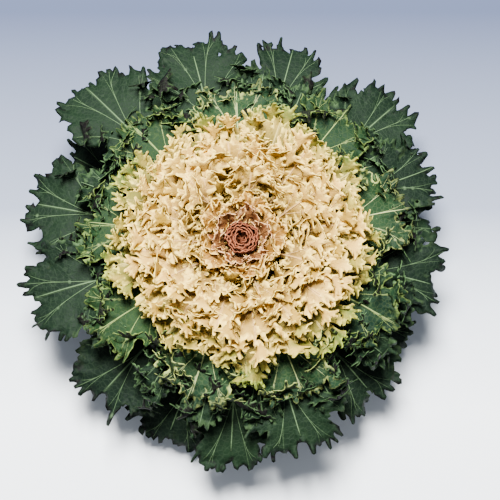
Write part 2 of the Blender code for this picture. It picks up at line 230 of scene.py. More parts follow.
@dataclass(frozen=True)
class Kind:
    """One kind of leaf. Lengths are in millimetres, and slopes in degrees above level."""

    base_height: float
    base_slope: float
    rise_slope: float
    tip_slope: float
    share: float  # of the midrib's length that bears the blade
    width: float
    stalk_width: float
    cup: float  # radius of the blade's cross curve
    fold: float
    tilt: float
    waves: int
    wave: float
    lobes: int
    bay: float  # depth of the bays between lobes
    finger_gap: float  # from one finger to the next
    finger_long: float
    finger_radius: float
    web: float  # half the width of a finger's foot, as a share of its gap
    curl: float  # how far finger tips rise
    crisp: float  # height of the small ruffles
    crisp_length: float  # from one small ruffle to the next
    leaflets: int  # pairs on the stalk
    leaflet_length: float
    tufts: int  # small frills that stand up along the margin
    tuft_rise: tuple  # degrees
    bare_tip: float  # share of the margin, at the tip, that has none
    stalk_tufts: int
    pitch: float  # of the mesh
    thick: float = 0.5
    length: float = 0.0


LOW = Kind(
    base_height=9, base_slope=18, rise_slope=27, tip_slope=-34, share=0.56, width=70, stalk_width=6.4,
    cup=300, fold=0.03, tilt=0.0, waves=5, wave=3.2, lobes=6, bay=13, finger_gap=5.6, finger_long=9,
    finger_radius=1.4, web=0.4, curl=4.0, crisp=2.0, crisp_length=13, leaflets=2, leaflet_length=20, tufts=8,
    tuft_rise=(30, 95), bare_tip=0.45, stalk_tufts=4, pitch=2.3,
)  # fmt: skip
MID = replace(LOW, base_height=17, base_slope=24, rise_slope=36, tip_slope=-32, share=0.57, fold=0.04)
TOP = replace(MID, base_height=25, base_slope=28, rise_slope=41, tip_slope=-31, tilt=0.08)
TIERS = {"low": LOW, "mid": MID, "top": TOP}

# (tier, azimuth in degrees, reach in mm, blade width in mm)
GREEN_LEAVES = (
    ("mid", 10, 148, 60),
    ("top", 23, 153, 62),
    ("mid", 44, 166, 76),
    ("low", 62, 148, 62),
    ("mid", 76, 163, 64),
    ("low", 90, 152, 56),
    ("top", 104, 163, 72),
    ("low", 121, 150, 60),
    ("top", 134, 172, 76),
    ("low", 149, 156, 62),
    ("mid", 167, 164, 76),
    ("top", 194, 161, 76),
    ("mid", 226, 156, 76),
    ("low", 248, 153, 74),
    ("mid", 267, 162, 70),
    ("top", 287, 158, 74),
    ("mid", 312, 150, 72),
    ("low", 330, 140, 66),
    ("top", 349, 149, 74),
    ("low", 2, 138, 64),
)
GREEN_SEED = 41


def stem_side(height):
    return float(np.interp(height, *zip(*STEM_PROFILE)))


def slopes(kind, share):
    return np.radians(np.interp(share, (0, RISE_AT, 1), (kind.base_slope, kind.rise_slope, kind.tip_slope)))


def length_for(kind, foot, reach):
    """The midrib's length that brings the tip this far from the stem's axis."""
    return (reach - foot) / float(np.mean(np.cos(slopes(kind, np.linspace(0, 1, SAMPLES)))))


def summed(rate):
    return np.concatenate(((0,), np.cumsum((rate[1:] + rate[:-1]) / 2)))


def unit(vectors):
    return vectors / np.maximum(np.linalg.norm(vectors, axis=-1, keepdims=True), 1e-9)


class Arc:
    """The curve that a midrib follows out from the stem."""

    def __init__(self, kind, foot):
        share = np.linspace(0, 1, SAMPLES)
        step = kind.length / (SAMPLES - 1)
        self.along = share * kind.length
        self.slope = slopes(kind, share)
        self.radius = foot + summed(np.cos(self.slope)) * step
        self.height = kind.base_height + summed(np.sin(self.slope)) * step

    def at(self, along):
        """(radius, height, slope) there; before the foot the curve runs on straight."""
        curves = (self.radius, self.height, self.slope)
        radius, height, slope = (np.interp(along, self.along, curve) for curve in curves)
        before = np.minimum(along, 0)
        return radius + before * np.cos(slope), height + before * np.sin(slope), slope


class Outline:
    """The fan that a blade fills, in (along, across)."""

    def __init__(self, kind):
        self.kind = kind
        self.start = kind.length * (1 - kind.share)
        self.blade = kind.length - self.start
        self.front = self.blade * FRONT_SHARE
        self.back = self.blade - self.front
        self.middle = self.start + self.back
        turn = np.linspace(-math.pi, math.pi, 2 * SAMPLES)
        edge = self.point(turn, np.ones_like(turn))
        self.heading = np.unwrap(np.arctan2(edge[:, 1], edge[:, 0] - self.middle))
        self.reach = np.hypot(edge[:, 0] - self.middle, edge[:, 1])
        inside = np.abs(turn) <= MARGIN_END
        steps = np.hypot(*np.diff(edge, axis=0).T) * (inside[1:] & inside[:-1])
        run = np.concatenate(((0,), np.cumsum(steps)))
        self.perimeter = run[-1]
        self.turn, self.run = turn, run / run[-1]

    def point(self, turn, out):
        """The flat place this share of the way out, in the direction of this turn from the tip."""
        reach = np.where(np.cos(turn) > 0, self.front, self.back)
        along = self.middle + out * reach * np.cos(turn)
        across = out * self.kind.width / 2 * np.sin(turn) * (1 + FAN * np.cos(turn))
        return np.stack((along, across), axis=-1)

    def turn_at(self, run):
        """The turn from the tip at this share of the way round the margin."""
        inner = np.abs(self.turn) <= MARGIN_END
        return np.interp(run, self.run[inner], self.turn[inner])

    def place(self, points):
        """(share of the way out, run round the margin, turn) of points in the plane."""
        heading = np.arctan2(points[:, 1], points[:, 0] - self.middle)
        reach = np.interp(heading, self.heading, self.reach)
        out = np.hypot(points[:, 0] - self.middle, points[:, 1]) / reach
        return out, np.interp(heading, self.heading, self.run), np.interp(heading, self.heading, self.turn)


class Rods:
    """Tapering rods with rounded ends, which together fill a leaf's fingers; each may rise to its far end."""

    def __init__(self):
        self.ends, self.radii, self.lifts = [], [], []

    def add(self, points, radii, lift=0.0):
        points = np.asarray(points, float)
        span = len(points) - 1
        for i in range(span):
            self.ends.append((*points[i], *points[i + 1]))
            self.radii.append((radii[i], radii[i + 1]))
            self.lifts.append((lift * (i / span) ** 2, lift * ((i + 1) / span) ** 2))

    def field(self, points, distance=None):
        """How far outside the rods, or a body at the given distance, points lie, and how much they rise."""
        ends, radii, lifts = np.array(self.ends), np.array(self.radii), np.array(self.lifts)
        start, way = ends[:, :2], ends[:, 2:] - ends[:, :2]
        from_start = points[:, None, :] - start
        share = np.clip((from_start * way).sum(2) / (way**2).sum(1), 0, 1)
        apart = np.linalg.norm(from_start - share[..., None] * way, axis=2)
        to_rod = apart - (radii[:, 0] + (radii[:, 1] - radii[:, 0]) * share)
        weight = np.exp(-to_rod / SOFT)
        total = weight.sum(1) + (0 if distance is None else np.exp(-distance / SOFT))
        total = np.maximum(total, 1e-30)
        lift = (weight * (lifts[:, 0] + (lifts[:, 1] - lifts[:, 0]) * share)).sum(1) / total
        return -SOFT * np.log(total), lift


class Plan:
    """The flat leaf: a blade with bays between its lobes, its fingers, leaflets and stalk, and its veins."""

    def __init__(self, kind, rng):
        self.kind, self.outline = kind, Outline(kind)
        self.rods, self.veins = Rods(), []
        self.phase, self.crisp_phase = rng.uniform(0, 2 * math.pi, 2)
        self.tone = rng.uniform(-1, 1)
        self.bays = (np.arange(kind.lobes + 1) + rng.uniform(-0.2, 0.2, kind.lobes + 1)) / kind.lobes
        self.bay_depths = kind.bay * rng.uniform(*BAY_DEPTHS, kind.lobes + 1)
        self.bay_widths = kind.finger_gap * rng.uniform(*BAY_WIDTHS, kind.lobes + 1)
        tips = self.add_fingers(rng)
        for lobe in range(kind.lobes):
            self.add_veins(0.5 * (self.bays[lobe] + self.bays[lobe + 1]), tips)
        self.add_stalk()
        for pair in range(kind.leaflets):
            for side in (-1, 1):
                self.add_leaflet(pair, side, rng)

    def margin(self, run):
        """How far out the margin lies there, as a share."""
        run = np.asarray(run, float)
        apart = (run[..., None] - self.bays) * self.outline.perimeter / self.bay_widths
        turn = self.outline.turn_at(run)
        reach = np.interp(turn, self.outline.turn, self.outline.reach)
        return 1 - (self.bay_depths * np.exp(-(apart**2))).sum(-1) / reach

    def add_fingers(self, rng):
        """Fingers all round the margin, of which it gives each one's run and tip."""
        kind, outline = self.kind, self.outline
        tips, run = [], 0.0
        while run < 1:
            gap = kind.finger_gap * rng.uniform(*FINGER_GAPS)
            here = run + gap / 2 / outline.perimeter
            run += gap / outline.perimeter
            if run > 1.01:
                break
            radius = kind.finger_radius * rng.uniform(*FINGER_RADII)
            turn = float(outline.turn_at(here))
            reach = float(np.interp(turn, outline.turn, outline.reach))
            edge = float(self.margin(here))
            long = kind.finger_long * rng.uniform(*FINGER_LENGTHS)
            root = outline.point(turn * 1.05, edge - (long + FINGER_ROOT) / reach)
            tip_turn = turn * (1 - 0.05 * rng.uniform(0, 1))
            tip = outline.point(tip_turn, edge * rng.uniform(*FINGER_TIPS) - radius / reach)
            bend = root * 0.4 + tip * 0.6 + rng.uniform(-0.12, 0.12) * (tip - root)[::-1] * (1, -1)
            lift = kind.curl * (rng.uniform(0.3, 1.5) if rng.uniform() < CURL_UP else -rng.uniform(0.3, 1))
            self.rods.add((root, bend, tip), (gap * kind.web, radius * 1.15, radius), lift)
            tips.append((here, tip))
        return tips

    def add_veins(self, run, tips):
        """A side vein to one lobe, with two forks to the fingers beside the one it ends in."""
        kind, outline = self.kind, self.outline
        turn = float(outline.turn_at(run))
        hub = outline.point(turn, 0.55)
        order = sorted(range(len(tips)), key=lambda k: abs(tips[k][0] - run))
        end = tips[order[0]][1]
        lean = min(1.0, abs(turn) / MARGIN_END)
        foot = np.array((outline.start + (1 - lean) * (outline.middle - outline.start) * 0.8, 0.0))
        elbow = np.array((foot[0] * 0.5 + hub[0] * 0.5, hub[1] * 0.42))
        line = (foot, elbow, hub, hub * 0.15 + end * 0.85)
        self.veins.append((line, *SIDE_VEIN))
        curve = smooth_curve(line, VEIN_POINTS)
        for k, at in zip(order[1:3], FORKS_AT):
            fork, tip = curve[at], tips[k][1]
            ahead = fork + 0.45 * np.linalg.norm(tip - fork) * unit(curve[at + 1] - fork)
            self.veins.append(((fork, ahead, fork * 0.1 + tip * 0.9), *FORK_VEIN))

    def add_stalk(self):
        kind, outline = self.kind, self.outline
        half = kind.stalk_width / 2
        line = ((-FOOT_IN_STEM, 0), (outline.start * 0.5, 0), (outline.middle, 0))
        self.rods.add(line, (half * 0.9, half * 0.85, half * 0.8))

    def add_leaflet(self, pair, side, rng):
        """A small frilled leaf on the stalk's side."""
        kind, outline = self.kind, self.outline
        share = 0.97 - 0.27 * pair + rng.uniform(-0.05, 0.05)
        foot = np.array((outline.start * share, 0.0))
        long = kind.leaflet_length * (1 - 0.25 * pair) * rng.uniform(0.8, 1.15)
        turn = math.radians(rng.uniform(42, 62))
        heading = np.array((math.cos(turn), side * math.sin(turn)))
        hub, end = foot + heading * long * 0.55, foot + heading * long
        radius = kind.finger_radius
        lift = kind.curl * rng.uniform(0.8, 1.8)
        self.rods.add((foot, hub, end), (radius * 0.8, radius * 1.5, radius), lift)
        split = foot + heading * long * 0.35
        for fork in LEAFLET_FORKS:
            bent = turn + fork
            tip = split + np.array((math.cos(bent), side * math.sin(bent))) * long * 0.5
            self.rods.add((split, tip), (radius, radius * 0.75), lift)
        self.veins.append(((foot, hub, end * 0.9 + hub * 0.1), *LEAFLET_VEIN))

    def field(self, points):
        """How far outside the leaf each point lies, and how much the nearest fingers lift it."""
        out, run, turn = self.outline.place(points)
        reach = np.interp(turn, self.outline.turn, self.outline.reach)
        # The blade itself ends a finger's length inside the margin, and a little more round its foot.
        cut = self.kind.finger_long + 1.5 * (np.abs(turn) > MARGIN_END)
        distance = (out - self.margin(np.clip(run, 0, 1))) * reach + cut
        return self.rods.field(points, distance)

    def box(self):
        ends = np.array(self.rods.ends).reshape(-1, 2)
        edge = self.outline.point(self.outline.turn, np.ones(2 * SAMPLES))
        around = np.vstack((ends, edge[np.abs(self.outline.turn) <= MARGIN_END]))
        return around.min(0) - ROOM, around.max(0) + ROOM


def lattice(low, high, pitch):
    """An even grid of triangles."""
    row = pitch * math.sqrt(3) / 2
    columns = int((high[0] - low[0]) / pitch) + 2
    rows = int((high[1] - low[1]) / row) + 2
    i, j = np.meshgrid(np.arange(columns), np.arange(rows))
    points = np.stack((low[0] + (i + 0.5 * (j % 2)) * pitch, low[1] + j * row), axis=-1).reshape(-1, 2)
    number = (j * columns + i)[:-1, :-1]
    odd = (j % 2)[:-1, :-1] == 1
    a, b, c, d = number, number + 1, number + columns, number + columns + 1
    even = np.stack((np.stack((a, b, c), -1), np.stack((b, d, c), -1)), -2)
    other = np.stack((np.stack((a, b, d), -1), np.stack((a, d, c), -1)), -2)
    return points, np.where(odd[..., None, None], other, even).reshape(-1, 3)


def snapped(points, field, pitch):
    """Moves the points that lie near the outline onto it."""
    value, _ = field(points)
    near = np.abs(value) < 0.3 * pitch
    step = 0.05  # mm
    rates = []
    for way in ((step, 0), (0, step)):
        rates.append((field(points[near] + way)[0] - field(points[near] - way)[0]) / (2 * step))
    slope = np.stack(rates, -1)
    size = np.maximum((slope**2).sum(1), 0.2)
    points[near] -= value[near, None] * slope / size[:, None]
    value[near] = 0
    return points, value


def cut(points, faces, value):
    """Keeps what lies inside the outline, with the triangles that cross it cut along it."""
    side = value[faces]
    keep = [tuple(f) for f in faces[(side <= 0).all(1) & (side < 0).any(1)].tolist()]
    made, extra = {}, []

    def crossing(i, j):
        key = (min(i, j), max(i, j))
        if key not in made:
            share = value[i] / (value[i] - value[j])
            made[key] = len(points) + len(extra)
            extra.append(points[i] + (points[j] - points[i]) * share)
        return made[key]

    for face in faces[(side < 0).any(1) & (side > 0).any(1)].tolist():
        ring = []
        for i, j in zip(face, face[1:] + face[:1]):
            if value[i] <= 0:
                ring.append(i)
            if value[i] * value[j] < 0:
                ring.append(crossing(i, j))
        keep += [(ring[0], ring[k], ring[k + 1]) for k in range(1, len(ring) - 1)]
    return (np.vstack((points, extra)) if extra else points), np.array(keep)


def largest_part(points, faces):
    """Drops scraps that touch the leaf nowhere or only at a point."""
    edges = np.sort(faces[:, [0, 1, 1, 2, 2, 0]].reshape(-1, 2), axis=1)
    _, owner = np.unique(edges, axis=0, return_inverse=True)
    owner = owner.reshape(-1, 3)
    label = np.arange(len(faces))
    for _ in range(400):
        lowest = np.full(owner.max() + 1, len(faces))
        np.minimum.at(lowest, owner.ravel(), np.repeat(label, 3))
        fresh = np.minimum(label, lowest[owner].min(1))
        fresh = fresh[fresh]
        if (fresh == label).all():
            break
        label = fresh
    faces = faces[label == np.bincount(label).argmax()]
    used, index = np.unique(faces, return_inverse=True)
    return points[used], index.reshape(-1, 3)


def cut_sheet(field, box, pitch):
    """The flat mesh of what lies inside a field."""
    points, faces = lattice(*box, pitch)
    points, value = snapped(points, field, pitch)
    return largest_part(*cut(points, faces, value))


def sheet_normals(points, faces):
    corners = points[faces]
    normal = np.cross(corners[:, 1] - corners[:, 0], corners[:, 2] - corners[:, 0])
    total = np.zeros_like(points)
    for k in range(3):
        np.add.at(total, faces[:, k], normal)
    return unit(total)


def thickened(sheet, faces, half):
    """Two alike faces this far off the sheet, joined round its rim."""
    off = sheet_normals(sheet, faces) * half[:, None]
    count = len(sheet)
    edges = faces[:, [0, 1, 1, 2, 2, 0]].reshape(-1, 2).tolist()
    known = {tuple(e) for e in edges}
    rim = [(i, j) for i, j in edges if (j, i) not in known]
    walls = [(i, i + count, j) for i, j in rim] + [(j, i + count, j + count) for i, j in rim]
    return np.vstack((sheet + off, sheet - off)), np.vstack((faces, faces[:, ::-1] + count, walls))


def smooth_curve(points, count):
    """A curve near three or more points, as even steps of a Bezier."""
    points = np.asarray(points, float)
    share = np.linspace(0, 1, count)[:, None]
    degree = len(points) - 1
    weights = [math.comb(degree, k) * share**k * (1 - share) ** (degree - k) for k in range(degree + 1)]
    return sum(weight * point for weight, point in zip(weights, points))


def near_veins(points, veins, reach):
    """1 on a vein, down to 0 this far from it."""
    near = np.full(len(points), 1e9)
    for line, thick, _ in veins:
        curve = smooth_curve(line, 9)
        start, way = curve[:-1], np.diff(curve, axis=0)
        from_start = points[:, None, :] - start
        share = np.clip((from_start * way).sum(2) / (way**2).sum(1), 0, 1)
        apart = np.linalg.norm(from_start - share[..., None] * way, axis=2).min(1)
        near = np.minimum(near, apart / thick * PAINT_FADES)
    return np.clip(1 - near / reach, 0, 1)


class Shell:
    """Gathers the closed surfaces of one piece, in millimetres, with what their paint needs at each point."""

    # 0 at the margin and 1 inside it; 1 on a vein; the share of the way out; the leaf's own tone, -1 to 1;
    # and 1 on the lower face, which is darkened with painted shade
    NAMES = ("edge", "vein", "out", "tone", "under")

    def __init__(self):
        self.points, self.faces, self.paint, self.count = [], [], [], 0

    def add(self, points, faces, paint):
        self.points.append(points)
        self.faces.append(np.asarray(faces) + self.count)
        self.paint.append(np.column_stack([np.broadcast_to(v, len(points)) for v in paint]))
        self.count += len(points)

    def piece(self, name):
        points, faces = np.vstack(self.points), np.vstack(self.faces)
        # The highest frills are pressed level, as those of the real head are.
        over = np.maximum(points[:, 2] - (HEAD_TOP - LEVELLED), 0)
        points[:, 2] += LEVELLED * np.tanh(over / LEVELLED) - over
        points *= MM
        mesh = bpy.data.meshes.new(name)
        mesh.vertices.add(len(points))
        mesh.vertices.foreach_set("co", points.ravel())
        mesh.loops.add(faces.size)
        mesh.loops.foreach_set("vertex_index", faces.ravel())
        mesh.polygons.add(len(faces))
        mesh.polygons.foreach_set("loop_start", np.arange(0, faces.size, 3))
        mesh.update()
        for name_of, column in zip(self.NAMES, np.vstack(self.paint).T):
            layer = mesh.attributes.new(name_of, "FLOAT", "POINT")
            layer.data.foreach_set("value", column.astype(np.float32))
        mesh.validate()
        mesh.shade_smooth()
        made = bpy.data.objects.new(name, mesh)
        bpy.context.scene.collection.objects.link(made)
        return made


@dataclass(frozen=True)
class Frill:
    """A small fan of fingers that stands on a leaf. Lengths are in millimetres, and angles in degrees."""

    length: float
    fingers: int
    spread: float  # of the outer fingers from the middle
    radius: float  # of a finger's tip
    unrest: float  # how far the fingers' tips stray up and down
    pitch: float
    thick: float = 0.45
    curl: float = 0.0  # drawn for each


def make_frill(frill, rng):
    """(points, faces, edge, share of the way out) of one such fan that points along +X with +Z up."""
    rods = Rods()
    for k in range(frill.fingers):
        side = 2 * k / (frill.fingers - 1) - 1
        turn = math.radians(frill.spread * side + rng.uniform(-7, 7))
        long = frill.length * (1 - 0.22 * abs(side)) * rng.uniform(0.8, 1.05) - frill.radius
        knee = 0.55 * long * np.array((math.cos(turn * 0.6), math.sin(turn * 0.6)))
        tip = long * np.array((math.cos(turn), math.sin(turn)))
        radius = frill.radius * rng.uniform(0.8, 1.2)
        lift = rng.uniform(-1, 1) * frill.unrest
        rods.add(((0, 0), knee, tip), (radius * 1.3, radius * 1.35, radius), lift)
    low, high = np.array((-3.0, -frill.length)), np.array((frill.length + 2, frill.length))
    points, faces = cut_sheet(rods.field, (low, high), frill.pitch)
    value, lift = rods.field(points)
    bend = frill.curl / frill.length
    angle = math.radians(1) * bend * points[:, 0]
    radius = 1 / (math.radians(1) * bend)
    sheet = np.column_stack((radius * np.sin(angle), points[:, 1], radius * (1 - np.cos(angle)) + lift))
    sheet[:, 2] += 0.3 * np.abs(points[:, 1]) * rng.uniform(-0.6, 1)
    share = np.clip(points[:, 0] / frill.length, 0, 1)
    edge = np.clip(-value / 1.2, 0, 1)
    solid, closed = thickened(sheet, faces, frill.thick / 2 * (0.6 + 0.4 * edge))
    return solid, closed, np.tile(edge, 2), np.tile(share, 2)


def turned(first, second, angle):
    """Two axes turned in their own plane, the first one towards the second."""
    c, s = math.cos(angle), math.sin(angle)
    return first * c + second * s, second * c - first * s


class Leaf:
    """A leaf's flat plan set in space."""

    def __init__(self, plan, arc, azimuth):
        self.plan, self.arc = plan, arc
        self.azimuth = math.radians(azimuth)

    def rise(self, points, lift):
        """How far the sheet stands off its cupped arc."""
        plan, kind = self.plan, self.plan.kind
        out, run, turn = plan.outline.place(points)
        out = np.clip(out, 0, 1.05)
        share = WAVE_AT_TIP + (1 - WAVE_AT_TIP) * np.sin(turn) ** 2
        wave = kind.wave * out**2 * share * np.sin(2 * math.pi * kind.waves * run + plan.phase)
        # Small ruffles run round the margin, and a weaker set crosses them.
        ripples = plan.outline.perimeter / kind.crisp_length
        crisp = np.sin(2 * math.pi * ripples * run + plan.crisp_phase + 1.5 * np.sin(9 * out))
        crisp += 0.5 * np.sin(points[:, 0] / kind.crisp_length * 8 + plan.phase)
        return wave + kind.crisp * out**3 * (0.4 + 0.6 * share) * crisp + lift

    def shape(self, points, lift=0.0, off=0.0):
        """Where flat points lie in space, off by a distance along the leaf's own up."""
        kind = self.plan.kind
        along, across = points.T
        radius, height, slope = self.arc.at(along)
        bend = across / kind.cup
        side = kind.cup * np.sin(bend)
        up = kind.cup * (1 - np.cos(bend)) + kind.fold * np.abs(across) + kind.tilt * across
        up = up * np.clip(along / kind.length / CUP_FULL_AT, 0, 1) + self.rise(points, lift) + off
        radius, height = radius - np.sin(slope) * up, height + np.cos(slope) * up
        c, s = math.cos(self.azimuth), math.sin(self.azimuth)
        return np.column_stack((radius * c - side * s, radius * s + side * c, height))

    def out_share(self, points):
        """0 at the foot of the blade, about 1 at its margin."""
        outline = self.plan.outline
        ahead = points[..., 0] - outline.start
        return np.clip(np.hypot(ahead, points[..., 1]) / outline.blade * np.where(ahead > 0, 1, 0.3), 0, 1)

    def add_sheet(self, shell, vein_reach):
        plan, kind = self.plan, self.plan.kind
        points, faces = cut_sheet(plan.field, plan.box(), kind.pitch)
        value, lift = plan.field(points)
        edge = np.clip(-value / 2.5, 0, 1)
        midrib = ((0, 0), (kind.length * MIDRIB_END, 0)), 1.6, 0.5
        vein = near_veins(points, [*plan.veins, midrib], vein_reach)
        solid, closed = thickened(self.shape(points, lift), faces, kind.thick / 2 * (0.6 + 0.4 * edge))
        paint = [np.tile(v, 2) for v in (edge, vein, self.out_share(points))]
        shell.add(solid, closed, (*paint, plan.tone, np.repeat((0.0, 1.0), len(points))))

    def add_tube(self, shell, line, widths, heights, sides):
        """A tapering rib along a flat curve, half sunk in the sheet, as far as the sheet goes."""
        plan = self.plan
        outside, lift = plan.field(line)
        count = int(np.argmax(np.append(outside, 0) > -RIB_MARGIN))
        if count < 3:
            return
        line, lift, widths, heights = line[:count], lift[:count], widths[:count], heights[:count]
        middle = self.shape(line, lift, RIB_STANDS)
        up = unit(self.shape(line, lift, 0.8) - middle)
        across = np.cross(unit(np.gradient(middle, axis=0)), up)
        turns = 2 * math.pi * np.arange(sides) / sides
        ring = (
            np.cos(turns)[None, :, None] * across[:, None, :] * np.asarray(widths)[:, None, None]
            + np.sin(turns)[None, :, None] * up[:, None, :] * np.asarray(heights)[:, None, None]
        )
        points = (middle[:, None, :] + ring).reshape(-1, 3)
        faces = []
        for i in range(len(line) - 1):
            for k in range(sides):
                a, b = i * sides + k, i * sides + (k + 1) % sides
                faces += [(a, b, b + sides), (a, b + sides, a + sides)]
        last = (len(line) - 1) * sides
        faces += [(0, k + 1, k) for k in range(1, sides - 1)]
        faces += [(last, last + k, last + k + 1) for k in range(1, sides - 1)]
        shell.add(points, faces, (1.0, 1.0, np.repeat(self.out_share(line), sides), plan.tone, 0.0))

    def add_ribs(self, shell):
        kind, outline = self.plan.kind, self.plan.outline
        stations = np.linspace(-FOOT_IN_STEM, kind.length * MIDRIB_END, 26)
        half = kind.stalk_width / 2
        stops = (0, outline.start, outline.middle, kind.length)
        widths = np.interp(stations, stops, (half, half * 0.42, half * 0.17, 0.2))
        heights = np.interp(stations, stops, (STALK_THICK / 2, 1.4, 0.7, 0.3))
        line = np.column_stack((stations, np.zeros_like(stations)))
        self.add_tube(shell, line, widths, heights, 6)
        for points, thick, thin in self.plan.veins:
            count = 14 if len(points) > 3 else 8
            taper = np.linspace(thick, thin, count)
            self.add_tube(shell, smooth_curve(points, count), taper, taper * 0.9, 3)

    def stand(self, shell, frills, spot, ahead, rises, rolls, sizes, rng):
        """Sets a frill on the leaf at a flat spot, pointing to another and raised from the sheet."""
        points, faces, edge, share = frills[rng.integers(len(frills))]
        raised, roll = math.radians(rng.uniform(*rises)), math.radians(rng.uniform(*rolls))
        size, tone = rng.uniform(*sizes), rng.uniform(-1, 1)
        flat = np.array((spot, ahead))
        foot, towards = self.shape(flat)
        way = unit(towards - foot)
        up = unit(self.shape(flat, 0.0, 1.0)[0] - foot)
        across = unit(np.cross(up, way))
        up = np.cross(way, across)
        way, up = turned(way, up, raised)
        across, up = turned(across, up, roll)
        placed = foot + size * (points @ np.array((way, across, up)))
        out = 0.6 * self.out_share(np.asarray(spot)) + 0.5 * share
        shell.add(placed, faces, (edge, 0.0, out, tone, np.repeat((0.0, 1.0), len(points) // 2)))

    def add_tufts(self, shell, frills, rng):
        """Small frills along the margin, and on both sides of the stalk."""
        kind, outline = self.plan.kind, self.plan.outline
        for k in range(kind.tufts):
            side = (k + rng.uniform(0.1, 0.9)) / kind.tufts - 0.5
            run = 0.5 + math.copysign(abs(side) * (1 - kind.bare_tip) + kind.bare_tip / 2, side)
            turn = outline.turn_at(run)
            out = rng.uniform(*TUFT_SEAT) * float(self.plan.margin(run))
            spot = outline.point(turn, out)
            ahead = outline.point(turn * rng.uniform(0.6, 0.95), out + 0.25)
            self.stand(shell, frills, spot, ahead, kind.tuft_rise, TUFT_ROLL, TUFT_SIZE, rng)
        for k in range(kind.stalk_tufts):
            side = 1 if k % 2 else -1
            along = outline.start * (0.55 + 0.6 * (k + rng.uniform(0, 1)) / kind.stalk_tufts)
            spot = np.array((along, side * kind.stalk_width * 0.3))
            turn = math.radians(rng.uniform(35, 75))
            ahead = spot + 5 * np.array((math.cos(turn), side * math.sin(turn)))
            self.stand(shell, frills, spot, ahead, STALK_TUFT_RISE, STALK_TUFT_ROLL, STALK_TUFT_SIZE, rng)


def make_leaf(kind, azimuth, foot, rng, frills, vein_reach, shell=None):
    """A whole leaf in a shell of its own, or added to one."""
    shell = shell or Shell()
    leaf = Leaf(Plan(kind, rng), Arc(kind, foot), azimuth)
    leaf.add_sheet(shell, vein_reach)
    leaf.add_ribs(shell)
    leaf.add_tufts(shell, frills, rng)
    return shell


PATCH_SIZE = 12  # mm, of the patches in which a leaf's colour leans to a second one
NET_SIZE = 3.2  # mm across a mesh of the finest veins, drawn as coarse as it needs to show
NET_LINE = 0.09  # half the width of a line of it, as a share of a mesh
NET_FAINT = 0.05
OUTER_PATCH = 14  # mm, of the wandering border of the outer colour
OUTER_STRAYS = 9  # mm that it wanders to each side
# Painted shade: below a dome over the leaves' tips the skin darkens, where the leaves shade those beneath
# them.
DOME_TOP = 113  # mm, the top of the dome that the leaves' tips reach
DOME_FALL = 2.0  # metres that it has fallen one metre from its axis, and four times that at two
LOW_SHADE_SPAN = (2, 15)  # mm below the dome, between which the painted shade comes in
RIM_PATCH = 5  # mm, of the ragged inner border of the painted rim
PUCKER_SIZE = 4  # mm


